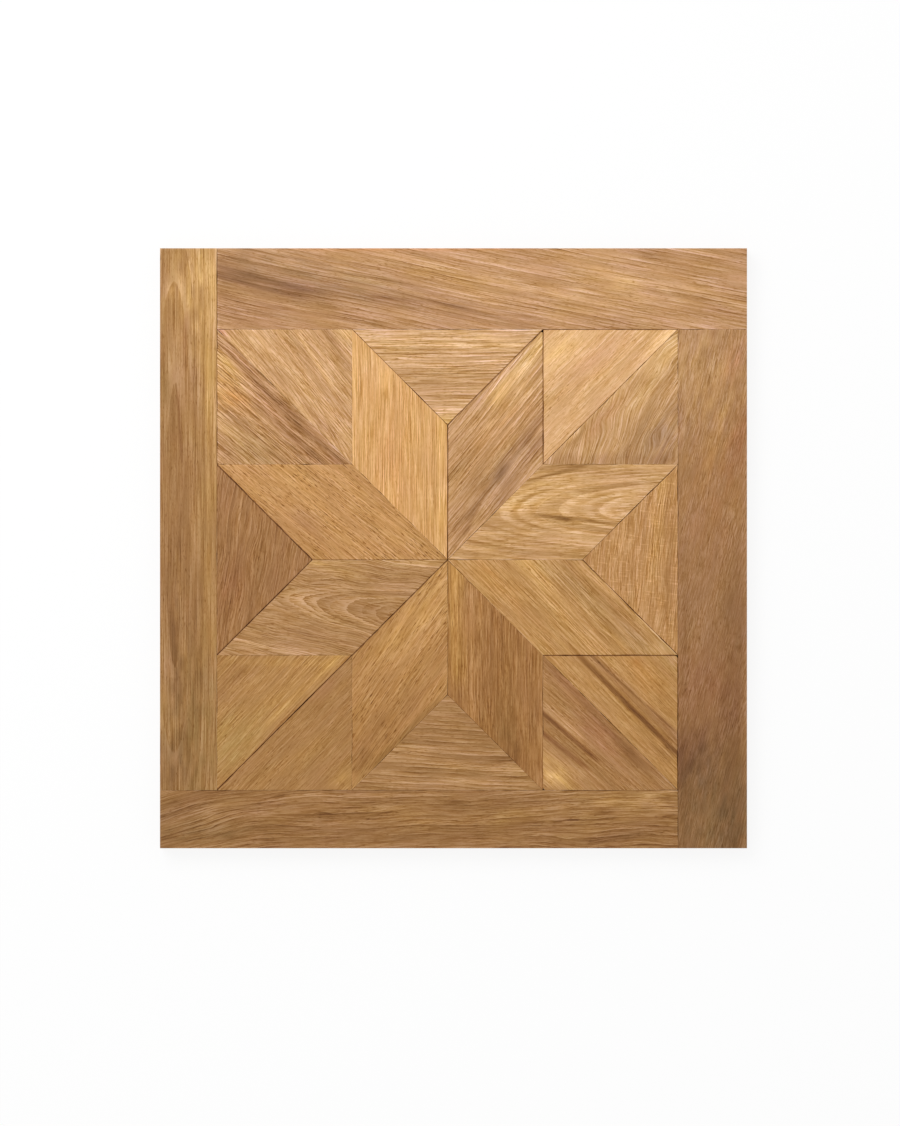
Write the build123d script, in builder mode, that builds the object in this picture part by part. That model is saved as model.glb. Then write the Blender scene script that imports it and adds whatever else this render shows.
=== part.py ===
from build123d import *
import os
from math import radians, sqrt, tan

# An oak parquet panel: an eight-pointed star of solid blocks in a square field,
# framed by four boards laid pinwheel fashion. The face is up, the back lies on Z = 0,
# and the origin is under the middle of the panel.

# Driving dimensions, in millimetres
FIELD_SIDE = 461.0      # square field that holds the star
BORDER_LEFT = 57.0      # width of each frame board
BORDER_TOP = 81.0
BORDER_RIGHT = 69.0
BORDER_BOTTOM = 58.0
THICKNESS = 20.0        # every block and board, face to back
ARRIS = 0.2             # easing of the edges round each face
CORNER_WEAR = 3.0       # rounding of the square block corners that are knocked off
TIP_WEAR = 1.5          # rounding of the star tip that is knocked off

# How far an edge stands back from the joint line that it shares with its neighbour
TIGHT = 0.05
FINE = 0.15
OPEN = 0.35

# Tongues and the slots that take them, all at one height above the back
TONGUE_BASE = 7.5       # lip below the tongue
TONGUE_THICKNESS = 5.0
TONGUE_REACH = 5.0      # beyond the joint line
TONGUE_ROOT = 2.0       # inside its own block, past the standing back of the edge
SLOT_SIDE_ROOM = 0.15   # above and below the tongue
SLOT_END_ROOM = 0.6     # past the tongue's tip and past its two ends
RIM_GROOVE_DEPTH = 6.0  # groove round the panel for loose tongues to the next panels

# Sizes that follow
WIDTH = BORDER_LEFT + FIELD_SIDE + BORDER_RIGHT
LENGTH = BORDER_BOTTOM + FIELD_SIDE + BORDER_TOP
HALF_FIELD = FIELD_SIDE / 2
BLOCK_SIDE = FIELD_SIDE / (2 + sqrt(2))   # side of a star point, leg of a triangle
INNER = HALF_FIELD - BLOCK_SIDE           # from an axis of the star to a corner square
STAR_ANGLE = 45.0                         # between neighbouring edges at the star's centre
SLOT_BASE = TONGUE_BASE - SLOT_SIDE_ROOM
SLOT_THICKNESS = TONGUE_THICKNESS + 2 * SLOT_SIDE_ROOM
SLOT_DEPTH = TONGUE_REACH + SLOT_END_ROOM
# Two tongues that enter the same sharp corner stop before they would meet.
TONGUE_SETBACK = (SLOT_DEPTH + SLOT_END_ROOM) / tan(radians(STAR_ANGLE / 2))

LOW_X, HIGH_X = -WIDTH / 2, WIDTH / 2
LOW_Y, HIGH_Y = -LENGTH / 2, LENGTH / 2
FIELD_LOW_X, FIELD_HIGH_X = LOW_X + BORDER_LEFT, HIGH_X - BORDER_RIGHT
FIELD_LOW_Y, FIELD_HIGH_Y = LOW_Y + BORDER_BOTTOM, HIGH_Y - BORDER_TOP
STAR_CENTRE = Vector((FIELD_LOW_X + FIELD_HIGH_X) / 2, (FIELD_LOW_Y + FIELD_HIGH_Y) / 2)

# Edges that stand further back than a tight joint, as (block, edge)
STAND_BACK = {
    ("corner_top_right_upper", "border"): OPEN,
    ("corner_top_right_upper", "star"): OPEN,
    ("corner_top_right_upper", "diagonal"): FINE,
    ("star_point_top_right", "side"): OPEN,
    ("star_point_top_right", "axis"): OPEN,
    ("side_triangle_top", "left"): FINE,
    ("side_triangle_right", "left"): FINE,
    ("side_triangle_right", "right"): FINE,
    ("side_triangle_right", "border"): FINE,
    ("side_triangle_left", "left"): OPEN,
    ("side_triangle_left", "right"): OPEN,
    ("star_point_left_lower", "axis"): FINE,
    ("star_point_bottom_left", "diagonal"): OPEN,
    ("corner_bottom_left_upper", "diagonal"): OPEN,
    ("corner_bottom_right_upper", "star"): OPEN,
    ("corner_bottom_right_upper", "border"): OPEN,
    ("corner_top_left_lower", "border"): FINE,
}

# Blocks with a knocked-off corner: which corner it is, counted round the block from 0,
# and its rounding
WORN_CORNERS = {
    "corner_bottom_right_upper": (2, CORNER_WEAR),
    "corner_bottom_right_lower": (1, CORNER_WEAR),
    "star_point_top_right": (2, TIP_WEAR),
}


def edge_plane(start, end):
    """Plane on a joint line's middle: X runs along the line, Y points into the block."""
    return Plane(origin=(start + end) / 2, x_dir=end - start, z_dir=(0, 0, 1))


def stood_back(corners, distances):
    """The outline with each edge moved inwards by its own distance; edge i starts at corner i."""
    lines = []
    for i, start in enumerate(corners):
        plane = edge_plane(start, corners[(i + 1) % len(corners)])
        lines.append((start + plane.y_dir * distances[i], plane.x_dir))
    points = []
    for i, (point, along) in enumerate(lines):
        before_point, before_along = lines[i - 1]
        across = before_along.cross(along).Z
        reach = (point - before_point).cross(along).Z / across
        points.append(before_point + before_along * reach)
    return points


def make_block(name, corners, edges):
    """A block on its corner points, taken anticlockwise. Each edge is (role, joinery), where
    joinery is a tongue, a slot that stops short of both corners, or a groove right through."""
    distances = [
        0 if role == "rim" else STAND_BACK.get((name, role), TIGHT) for role, _ in edges
    ]
    with BuildPart() as block:
        with BuildSketch() as outline:
            with BuildLine():
                Polyline(*stood_back(corners, distances), close=True)
            make_face()
            if name in WORN_CORNERS:
                worn, wear = WORN_CORNERS[name]
                fillet(outline.vertices().sort_by_distance(corners[worn])[0], wear)
        extrude(amount=THICKNESS)
        chamfer(block.faces().sort_by(Axis.Z)[-1].edges(), ARRIS)
        for i, (role, joinery) in enumerate(edges):
            start, end = corners[i], corners[(i + 1) % len(corners)]
            plane = edge_plane(start, end)
            whole = (end - start).length
            stopped = whole - 2 * TONGUE_SETBACK
            if joinery == "tongue":
                root = distances[i] + TONGUE_ROOT
                with BuildSketch(plane.offset(TONGUE_BASE)):
                    with Locations((0, root)):
                        Rectangle(stopped, TONGUE_REACH + root, align=(Align.CENTER, Align.MAX))
                extrude(amount=TONGUE_THICKNESS)
            else:
                depth = RIM_GROOVE_DEPTH if role == "rim" else SLOT_DEPTH
                run = whole + 2 * depth if joinery == "groove" else stopped + 2 * SLOT_END_ROOM
                with BuildSketch(plane.offset(SLOT_BASE)):
                    Rectangle(run, 2 * depth)
                extrude(amount=SLOT_THICKNESS, mode=Mode.SUBTRACT)
    block.part.label = name
    export_step(block.part, f"parts/{name}.step")


def field_points(quarter, *points):
    """Points drawn for the top quarter of the star, turned clockwise to the given quarter."""
    return [STAR_CENTRE + Vector(x, y).rotate(Axis.Z, -90 * quarter) for x, y in points]


def make_quarter(quarter, side, straight_point, slanted_point, first_half, second_half):
    """The two star points, the side triangle and the halves of one corner square that share
    a quarter of the field. Names go clockwise round the star, as the blocks do."""
    centre, hollow = (0, 0), (0, BLOCK_SIDE)
    left_tip, right_tip = (-INNER, HALF_FIELD), (INNER, HALF_FIELD)
    left_inner, right_inner = (-INNER, INNER), (INNER, INNER)
    corner, right_edge = (HALF_FIELD, HALF_FIELD), (HALF_FIELD, INNER)
    make_block(
        straight_point,
        field_points(quarter, centre, hollow, left_tip, left_inner),
        [("axis", "tongue"), ("side", "slot"), ("corner", "slot"), ("diagonal", "slot")],
    )
    make_block(
        slanted_point,
        field_points(quarter, centre, right_inner, right_tip, hollow),
        [("diagonal", "tongue"), ("corner", "slot"), ("side", "slot"), ("axis", "slot")],
    )
    make_block(
        side,
        field_points(quarter, hollow, right_tip, left_tip),
        [("right", "tongue"), ("border", "tongue"), ("left", "tongue")],
    )
    make_block(
        first_half,
        field_points(quarter, right_inner, corner, right_tip),
        [("diagonal", "tongue"), ("border", "tongue"), ("star", "tongue")],
    )
    make_block(
        second_half,
        field_points(quarter, right_inner, right_edge, corner),
        [("star", "tongue"), ("border", "tongue"), ("diagonal", "slot")],
    )


def make_border(name, low, high, butt_edge):
    """One frame board on its two opposite corners. Its butt end carries a tongue, its inner
    side a groove for the field, and its other two sides the groove round the panel."""
    corners = [Vector(*low), Vector(high[0], low[1]), Vector(*high), Vector(low[0], high[1])]
    edges = [("rim", "groove")] * len(corners)
    edges[butt_edge] = ("butt", "tongue")
    edges[(butt_edge + 1) % len(corners)] = ("field", "groove")
    make_block(name, corners, edges)


os.makedirs("parts", exist_ok=True)

make_quarter(
    0, "side_triangle_top", "star_point_top_left", "star_point_top_right",
    "corner_top_right_upper", "corner_top_right_lower",
)
make_quarter(
    1, "side_triangle_right", "star_point_right_upper", "star_point_right_lower",
    "corner_bottom_right_upper", "corner_bottom_right_lower",
)
make_quarter(
    2, "side_triangle_bottom", "star_point_bottom_right", "star_point_bottom_left",
    "corner_bottom_left_lower", "corner_bottom_left_upper",
)
make_quarter(
    3, "side_triangle_left", "star_point_left_lower", "star_point_left_upper",
    "corner_top_left_lower", "corner_top_left_upper",
)

make_border("border_left", (LOW_X, FIELD_LOW_Y), (FIELD_LOW_X, HIGH_Y), 0)
make_border("border_bottom", (LOW_X, LOW_Y), (FIELD_HIGH_X, FIELD_LOW_Y), 1)
make_border("border_right", (FIELD_HIGH_X, LOW_Y), (HIGH_X, FIELD_HIGH_Y), 2)
make_border("border_top", (FIELD_LOW_X, FIELD_HIGH_Y), (HIGH_X, HIGH_Y), 3)
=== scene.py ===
"""Looks of an oak parquet panel: an eight-pointed star of solid blocks in a square field, framed by
four boards. Each block is a worked surface that stands for its CAD node: a face that follows the
growth rings, eased edges, and the groove, slot or tongue along each side. Its oak is drawn as it was
cut from the tree, so that face, edges and back belong together."""

from dataclasses import dataclass
from math import log, radians
from typing import NamedTuple

import bmesh
import bpy
import numpy as np
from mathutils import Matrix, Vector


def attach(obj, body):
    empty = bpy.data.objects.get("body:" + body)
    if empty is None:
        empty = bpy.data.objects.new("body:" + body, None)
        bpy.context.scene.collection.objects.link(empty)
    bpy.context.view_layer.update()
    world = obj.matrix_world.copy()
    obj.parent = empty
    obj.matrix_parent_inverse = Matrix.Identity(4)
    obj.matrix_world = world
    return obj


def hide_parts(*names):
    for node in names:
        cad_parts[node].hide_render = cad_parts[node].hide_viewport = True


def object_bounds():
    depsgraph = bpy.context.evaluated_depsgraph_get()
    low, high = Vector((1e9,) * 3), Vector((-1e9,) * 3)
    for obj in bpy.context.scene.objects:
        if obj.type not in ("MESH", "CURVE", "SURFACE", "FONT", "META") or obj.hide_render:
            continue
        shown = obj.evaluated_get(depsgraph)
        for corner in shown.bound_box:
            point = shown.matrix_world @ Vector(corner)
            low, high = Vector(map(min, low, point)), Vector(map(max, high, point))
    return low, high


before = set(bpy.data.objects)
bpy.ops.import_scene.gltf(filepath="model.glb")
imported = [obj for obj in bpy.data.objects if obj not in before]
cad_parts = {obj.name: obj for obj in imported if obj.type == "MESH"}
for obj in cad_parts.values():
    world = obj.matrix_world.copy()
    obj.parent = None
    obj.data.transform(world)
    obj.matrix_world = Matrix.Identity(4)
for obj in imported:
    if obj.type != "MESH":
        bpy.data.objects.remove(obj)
cad_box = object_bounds()

# Lengths below are in millimetres, and places are measured from the panel's middle
MM = 0.001
THICKNESS = cad_box[1].z / MM
ARRIS = 0.15            # easing of the edges round each face
BACK_ARRIS = 0.2
FACE_ROW, FACE_COLUMN = 0.6, 3.0    # mesh steps across and along the fibres
BACK_ROW, BACK_COLUMN = 1.5, 6.0
WALL_STEP = 3.0         # mesh step round the sides
BOARD_STEP, BLOCK_STEP = 1.2, 7.0   # mesh steps down a board's sides, which show, and a block's
WELD = 0.002            # points nearer than this are one
FOLD = radians(50)      # faces that meet at more than this have a sharp edge between them
EDGE_WEAR = 0.4         # most that an edge in a joint is worn back
WEAR_DEPTH = 4.0        # how far down its side the wear reaches
WEAR_REACH = 1.5        # how far into the face it reaches
NICK, HOLLOW = 7, 30    # lengths of the nicks and of the long hollows in a worn edge
WEAR_SWING = 0.7        # share that each of them has in the wear
LINE_RELIEF = 0.02      # depth of the hollows that brushing leaves between growth rings

# Plain oak, as a screen colour, and how each channel follows shade, warmth and redness
OAK = (200, 153, 102)
SHADE_PULL = (2.2, 2.8, 4.4)
WARMTH_PULL = (0.0, 0.0, -2.2)
REDNESS_PULL = (0.3, -0.55, -0.2)


class Streak(NamedTuple):
    """A band of other wood that runs with the fibres from start to end."""
    start: tuple
    end: tuple
    width: float
    shade: float
    warmth: float = 0.0
    redness: float = 0.0


class Patch(NamedTuple):
    """A soft oval of other wood, lying along the fibres. Some broad ones also hold painted light and shade:
    lighter towards the panel's upper left, darker towards its lower right.
    """
    at: tuple
    size: tuple         # half length along the fibres, half width across them
    shade: float
    warmth: float = 0.0
    redness: float = 0.0


@dataclass
class Figure:
    """How a block was cut from the tree."""
    slot: str
    angle: float                    # way the fibres run, degrees anticlockwise from +X
    shade: float                    # lighter or darker than plain oak, partly painted light: lighter towards the panel's upper left, darker towards its lower right
    warmth: float = 0.0             # more orange, or less
    redness: float = 0.0            # more red, or more green
    ring: float = 3.0               # width of a growth ring
    pith: tuple = (400.0, 60.0)     # heart of the tree: across from the block's middle, and below its face
    lean: float = 0.0               # how much deeper the heart lies for each mm along the fibres
    bow: float = 0.0                # how much deeper it lies for each square mm, towards both ends
    wave: tuple = (1.0, 70.0)       # sideways wander of the fibres, and its length
    sweep: tuple = (0.0, 0.0, 1.0)  # extra slope of the fibres, the place before which it holds, its easing
    ragged: float = 0.6             # how far a ring's line strays from its neighbours, in rings
    run: float = 35.0               # length over which the line of a ring comes and goes
    lines: float = 0.22             # contrast of the growth rings
    crisp: float = 4.0              # how soon the dark start of a ring fades, per ring
    soft: float = 0.02              # part of a ring over which its dark start comes up
    bands: float = 0.04             # contrast of groups of rings
    fibres: float = 0.08            # contrast of the fine fibres
    strand: tuple = (24.0, 1.1)     # length and width of a bundle of fibres
    pores: float = 0.2              # darkness of the pores
    pore: tuple = (6.0, 0.5)        # length and width of a pore
    flecks: float = 0.0             # paleness of the rays that cross the fibres
    streaks: tuple = ()
    patches: tuple = ()


# The blocks' shades and some broad patches also hold painted light: lighter towards the panel's upper left,
# darker towards its lower right
FIGURES = {
    "border_left": Figure(
        "oak_tan", 90, -0.16, -0.01, -0.01, ring=7.6, pith=(14.5, 3.0), bow=0.00023, ragged=0.2, run=100,
        lines=-0.2, fibres=0.13, strand=(60, 1.0),
        streaks=(
            Streak((-241, 330), (-243, 20), 9, 0.08, 0.05), Streak((-241, 340), (-241, 195), 4, 0.05),
            Streak((-246, 340), (-246, 100), 8, 0.0, 0.07),
            Streak((-245, 100), (-245, -140), 8, 0.0, 0.07), Streak((-258.5, 320), (-258, 60), 1.0, -0.1),
            Streak((-250, 330), (-248, -60), 1.2, -0.07), Streak((-245, 330), (-245, -60), 1.0, 0.06),
            Streak((-238.5, 340), (-238.5, 20), 1.2, 0.09),
            Streak((-267, 244), (-268, 170), 2.2, -0.1, 0.0, 0.06),
            Streak((-275, 165), (-271, 80), 1.6, -0.12, 0.0, 0.06),
            Streak((-292, 10), (-262, -230), 3.0, -0.07), Streak((-280, 20), (-258, -200), 2.0, 0.05),
        ),
        patches=(
            Patch((-266, 268), (52, 26), 0.16, 0.1), Patch((-246, 275), (40, 14), 0.06),
            Patch((-259, 190), (80, 9), 0.05), Patch((-242, 120), (120, 8), 0.04),
            Patch((-283, 257), (10, 9), 0.1), Patch((-274, 20), (60, 12), -0.04),
            Patch((-268, 228), (14, 4), 0.05), Patch((-286, 172), (14, 7), -0.06),
            Patch((-287, 150), (60, 8), 0.0, 0.0, -0.06), Patch((-274, -130), (60, 6), -0.04),
            Patch((-281, -130), (60, 9), -0.06), Patch((-249, -225), (12, 8), -0.05),
            Patch((-258, -150), (95, 18), -0.06), Patch((-256, -230), (16, 16), -0.05),
            Patch((-288, -228), (16, 10), -0.05), Patch((-283, 150), (95, 11), -0.05, 0.0, 0.02),
            Patch((-284, 181), (12, 3), 0.12), Patch((-255, 208), (45, 16), 0.05),
            Patch((-248, 88), (30, 14), -0.07), Patch((-258, -110), (70, 12), -0.06),
            Patch((-278, -90), (110, 12), -0.09, -0.06), Patch((-262, -190), (90, 40), -0.06, 0.0, -0.09),
            Patch((-280, -222), (30, 14), -0.1, -0.08),
        ),
    ),
    "border_top": Figure(
        "oak_honey", -11, -0.03, -0.06, 0.01, ring=4.0, wave=(2.5, 110), sweep=(-0.04, -170, 40),
        ragged=0.5, run=90, lines=0.3, crisp=6.5, fibres=0.09, strand=(40, 1.2),
        streaks=(
            Streak((-310, 301), (-105, 244), 12, -0.12, -0.06),
            Streak((-60, 267), (115, 222), 4, -0.07, -0.04), Streak((-210, 303), (60, 279), 7, 0.04),
            Streak((-185, 266), (-10, 241), 8, -0.08, -0.06),
            Streak((-290, 287), (-130, 246), 2.2, -0.14, -0.05),
            Streak((-260, 289), (-150, 262), 1.6, -0.14, -0.03),
            Streak((-160, 284), (-30, 262), 1.4, -0.13), Streak((-130, 272), (20, 241), 2.0, -0.1, -0.03),
            Streak((-90, 253), (30, 241), 2.0, -0.1, -0.03),
            Streak((-40, 255), (100, 217), 2.6, -0.12, -0.03),
            Streak((-230, 304), (-110, 281), 1.4, -0.1), Streak((-40, 262), (60, 243), 1.6, 0.07),
            Streak((-190, 300), (100, 300), 3.0, 0.0, 0.1, 0.14),
            Streak((130, 281), (225, 256), 4, 0.05, 0.04),
        ),
        patches=(
            Patch((-190, 234), (80, 14), -0.06, -0.02), Patch((-180, 284), (50, 8), -0.06),
            Patch((-175, 276), (80, 22), -0.02, -0.07, -0.07), Patch((-195, 293), (40, 6), -0.05),
            Patch((-222, 233), (22, 6), -0.05), Patch((-195, 265), (50, 30), -0.03),
            Patch((190, 243), (60, 12), 0.04), Patch((205, 222), (40, 4), 0.04),
            Patch((-90, 262), (50, 14), 0.0, 0.0, -0.06), Patch((150, 250), (50, 20), 0.0, 0.07),
            Patch((148, 236), (30, 8), 0.06), Patch((200, 269), (30, 6), -0.06, -0.03),
            Patch((-210, 253), (30, 5), -0.06), Patch((-213, 228), (35, 4), -0.06),
            Patch((-35, 292), (35, 5), -0.05), Patch((187, 254), (40, 8), 0.05),
            Patch((80, 262), (60, 12), 0.03), Patch((-225, 265), (30, 24), -0.05),
            Patch((-88, 254), (40, 8), -0.05), Patch((10, 268), (70, 10), 0.03, 0.1),
            Patch((190, 273), (110, 20), 0.06, 0.05), Patch((198, 293), (16, 8), -0.1),
            Patch((272, 234), (30, 8), -0.05),
        ),
    ),
    "border_right": Figure(
        "oak_brown", 77, -0.2, -0.12, -0.02, ring=3.0, lines=0.08, bands=0.02, fibres=0.1,
        strand=(14, 1.0), wave=(1.0, 60), ragged=0.4,
        streaks=(
            Streak((281, 20), (281, -400), 14, -0.09), Streak((297, 120), (297, -400), 8, 0.08),
            Streak((231, 20), (231, -330), 5, -0.05),
        ),
        patches=(
            Patch((245, 210), (90, 60), 0.1, 0.04), Patch((246, -165), (100, 18), -0.05),
            Patch((232, 140), (40, 5), 0.05), Patch((262, 60), (80, 30), 0.0, 0.05, 0.07),
            Patch((275, -275), (40, 30), -0.04, -0.06, -0.1),
            Patch((246, -222), (24, 14), 0.0, 0.0, -0.1), Patch((262, -178), (45, 8), -0.04),
            Patch((256, 140), (90, 45), 0.07, 0.07), Patch((236, 203), (20, 14), 0.05),
            Patch((281, 188), (25, 8), 0.02, 0.0, 0.12), Patch((270, 135), (12, 4), 0.06, 0.12),
            Patch((285, 108), (30, 8), -0.06, 0.0, 0.12), Patch((250, -140), (40, 40), -0.02, 0.0, 0.08),
            Patch((236, -210), (28, 26), -0.17, -0.12, 0.04), Patch((287, 172), (35, 8), 0.04),
            Patch((276, -172), (70, 13), -0.03, -0.04), Patch((264, -270), (70, 50), -0.14, -0.04, -0.08),
        ),
    ),
    "border_bottom": Figure(
        "oak_brown", 2, -0.23, -0.04, -0.01, ring=4.6, wave=(3.5, 55), sweep=(0.25, -185, 25), ragged=0.7,
        run=60, lines=0.38, crisp=6.0, fibres=0.15,
        patches=(
            Patch((172, -254), (62, 12), 0.13, 0.07), Patch((185, -246), (55, 8), 0.06, 0.03),
            Patch((165, -268), (35, 10), 0.06), Patch((-277, -267), (16, 5), -0.05),
            Patch((-275, -275), (40, 20), 0.0, -0.06, -0.05), Patch((41, -270), (12, 4), 0.06),
            Patch((207, -246), (12, 5), 0.05), Patch((-93, -272), (20, 7), -0.05),
            Patch((-240, -290), (50, 5), -0.06), Patch((-44, -264), (36, 12), 0.08, 0.06),
            Patch((60, -268), (70, 9), 0.05, 0.06), Patch((-150, -258), (40, 10), 0.05),
            Patch((-240, -284), (50, 11), -0.07, 0.0, -0.06), Patch((190, -292), (60, 8), -0.04),
            Patch((96, -240), (30, 8), 0.08), Patch((-24, -272), (30, 8), 0.04),
            Patch((-274, -287), (25, 10), -0.05),
        ),
    ),
    "star_point_top_left": Figure(
        "oak_pale", 90, 0.09, 0.15, 0.08, ring=2.2, ragged=0.5, run=60, lines=0.2, bands=0.02,
        fibres=0.12, strand=(35, 0.9), pores=0.1,
        streaks=(
            Streak((-13, 170), (-13, -30), 5, 0.03, 0.04), Streak((-23, 160), (-23, 0), 1.2, 0.06),
            Streak((-97, 245), (-97, 60), 4, 0.02),
        ),
        patches=(
            Patch((-60, 80), (60, 20), -0.02, 0.0, 0.06), Patch((-20, 45), (40, 12), -0.05),
            Patch((-80, 205), (20, 12), 0.04), Patch((-68, 166), (18, 8), 0.09),
            Patch((-15, 8), (10, 5), -0.07),
        ),
    ),
    "star_point_top_right": Figure(
        "oak_honey", 51, 0.01, -0.02, 0.0, ring=3.2, ragged=0.6, run=45, lines=0.32, crisp=4.5,
        fibres=0.1,
        streaks=(
            Streak((103, 155), (-5, 5), 6, -0.1, -0.05), Streak((112, 135), (28, 30), 7, -0.09, -0.05),
            Streak((56, 92), (10, 24), 2.5, -0.09), Streak((100, 222), (30, 138), 9, 0.1, 0.12),
            Streak((10, 132), (95, 219), 2.5, 0.03, -0.07), Streak((50, 84), (8, 30), 3, 0.06),
        ),
        patches=(
            Patch((63, 163), (40, 14), 0.03, 0.05), Patch((66, 175), (16, 7), 0.05),
            Patch((75, 155), (24, 7), 0.06, 0.04), Patch((63, 98), (12, 6), -0.05),
            Patch((33, 62), (10, 8), -0.06), Patch((21, 37), (16, 5), -0.05),
            Patch((0, 50), (40, 8), -0.04), Patch((30, 108), (30, 8), 0.06, 0.06, 0.03),
            Patch((50, 130), (40, 20), 0.02, 0.04, 0.04), Patch((50, 77), (30, 11), 0.0, -0.05, -0.06),
            Patch((25, 65), (22, 9), -0.06), Patch((47, 66), (10, 6), -0.06),
            Patch((25, 31), (8, 5), -0.08), Patch((2, 14), (18, 10), -0.06),
            Patch((77, 107), (12, 9), -0.12, -0.05), Patch((48, 76), (10, 6), -0.12, -0.05),
            Patch((14, 19), (8, 4), -0.12, -0.05), Patch((15, 92), (26, 12), -0.07),
            Patch((22, 40), (14, 6), -0.05),
        ),
    ),
    "star_point_right_upper": Figure(
        "oak_honey", 1, 0.05, 0.04, 0.0, ring=3.4, pith=(2, 26.7), lean=-0.174, wave=(1.2, 50),
        ragged=0.3, run=65, lines=0.37, crisp=3.0, soft=0.3, fibres=0.11,
        streaks=(
            Streak((76, 35), (122, 26), 2.0, -0.14), Streak((84, 33), (222, 18), 2.0, -0.24),
            Streak((60, 62), (142, 85), 2.2, -0.13), Streak((72, 76), (165, 88), 2.5, -0.12),
            Streak((110, 70), (205, 82), 2.0, -0.07), Streak((70, 86), (185, 86), 6, -0.06),
            Streak((5, 15), (140, 15), 1.2, 0.08), Streak((-10, -5), (150, -5), 3, -0.07),
        ),
        patches=(
            Patch((78, 62), (32, 9), 0.04, 0.06), Patch((98, 47), (46, 11), 0.08, 0.05),
            Patch((120, 78), (22, 4), -0.07), Patch((63, 44), (9, 11), 0.09),
            Patch((50, 36), (12, 8), 0.05), Patch((103, 34), (10, 4), 0.06),
        ),
    ),
    "star_point_right_lower": Figure(
        "oak_honey", -46, -0.03, 0.1, 0.03, ring=3.4, ragged=0.8, run=50, lines=0.2, fibres=0.12,
        strand=(30, 1.1),
        streaks=(
            Streak((105, 3), (235, -116), 2.5, 0.09), Streak((95, 4), (215, -108), 11, -0.05, -0.02),
            Streak((75, 3), (206, -118), 9, 0.0, -0.06, -0.06), Streak((100, -22), (190, -120), 9, -0.06),
            Streak((40, 0), (150, -112), 2, 0.05), Streak((115, -12), (168, -52), 4, 0.06),
        ),
        patches=(
            Patch((80, -24), (40, 8), 0.05, 0.05), Patch((205, -100), (12, 8), 0.05),
            Patch((45, -35), (40, 12), 0.0, 0.06, 0.05), Patch((212, -92), (22, 12), 0.0, -0.08, -0.08),
        ),
    ),
    "star_point_bottom_right": Figure(
        "oak_brown", 90, -0.19, 0.07, 0.08, ring=3.2, lines=0.23, fibres=0.14,
        streaks=(
            Streak((1, 10), (2, -150), 10, 0.09, 0.12), Streak((18, -20), (18, -190), 1.5, 0.1),
            Streak((9, -20), (9, -180), 1.5, 0.05),
        ),
        patches=(
            Patch((55, -150), (90, 24), -0.02), Patch((52, -198), (30, 18), -0.09),
            Patch((12, -55), (40, 22), 0.03), Patch((2, -28), (14, 8), 0.07),
            Patch((-1, -88), (24, 5), 0.05), Patch((60, -212), (12, 10), -0.05),
            Patch((52, -182), (30, 10), 0.0, 0.0, -0.06),
        ),
    ),
    "star_point_bottom_left": Figure(
        "oak_tan", 55, -0.08, 0.08, 0.06, ring=4.0, lines=0.16, pores=0.3, pore=(9, 0.9),
        streaks=(
            Streak((-4, -143), (-90, -226), 4, -0.14, 0.0, -0.05),
            Streak((-82, -200), (-104, -224), 7, -0.08),
        ),
        patches=(
            Patch((-38, -60), (60, 22), 0.05, 0.08), Patch((-8, -28), (14, 8), 0.07),
            Patch((-28, -78), (26, 12), 0.04), Patch((-56, -82), (14, 6), 0.05),
            Patch((-88, -222), (14, 8), -0.07, 0.0, -0.08), Patch((-92, -150), (50, 10), -0.03),
            Patch((-75, -180), (50, 25), -0.05), Patch((-78, -190), (24, 16), -0.03),
        ),
    ),
    "star_point_left_lower": Figure(
        "oak_tan", -9.5, -0.14, -0.01, -0.01, ring=1.6, pith=(3, 25.2), lean=-0.11, wave=(2.0, 26),
        ragged=0.6, run=60, lines=-0.4, crisp=4.0, fibres=0.15,
        streaks=(
            Streak((-235, -86), (-130, -110), 4, 0.07), Streak((-226, -78), (-120, -113), 1.5, 0.06),
            Streak((-212, -68), (-104, -110), 1.5, 0.05), Streak((-172, -16), (0, -13), 4, 0.08, 0.04),
        ),
        patches=(
            Patch((-175, -50), (25, 10), 0.05), Patch((-120, -19), (45, 8), 0.05, 0.06),
            Patch((-95, -60), (22, 16), -0.06), Patch((-188, -92), (14, 5), -0.05),
            Patch((-212, -84), (25, 6), -0.06), Patch((-138, -18), (14, 5), 0.04),
            Patch((-154, -54), (8, 6), 0.06),
        ),
    ),
    "star_point_left_upper": Figure(
        "oak_honey", -39, -0.03, 0.09, 0.07, ring=2.8, ragged=0.5, lines=0.22, pores=0.4, pore=(8, 0.8),
        patches=(
            Patch((-165, 68), (50, 12), 0.05, 0.03), Patch((-139, 14), (25, 8), -0.06),
            Patch((-144, 29), (25, 12), 0.0, -0.06), Patch((-48, 18), (30, 10), 0.0, 0.06),
        ),
    ),
    "side_triangle_top": Figure(
        "oak_pale", 0, 0.07, 0.0, -0.01, ring=3.0, ragged=0.4, run=70, lines=0.3, crisp=4.5, fibres=0.14,
        strand=(28, 1.0), wave=(1.0, 60),
        streaks=(
            Streak((-130, 212), (120, 212), 1.0, -0.1), Streak((-130, 206), (120, 206), 1.0, -0.12),
            Streak((-130, 200), (120, 199.5), 1.0, -0.12), Streak((-130, 195), (120, 195), 1.0, -0.1),
            Streak((-60, 138), (60, 138), 3, 0.1),
        ),
        patches=(
            Patch((-5, 205), (120, 10), 0.05, 0.04), Patch((-48, 197), (40, 7), -0.06),
            Patch((38, 209), (24, 6), 0.06), Patch((-8, 145), (16, 7), -0.05),
            Patch((-22, 189), (40, 5), -0.04), Patch((-5, 168), (70, 18), -0.05),
            Patch((-6, 128), (16, 6), 0.04, 0.15),
        ),
    ),
    "side_triangle_right": Figure(
        "oak_honey", 84, -0.06, 0.06, 0.06, ring=3.0, lines=0.2, fibres=0.13, flecks=0.11, wave=(2.0, 40),
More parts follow.
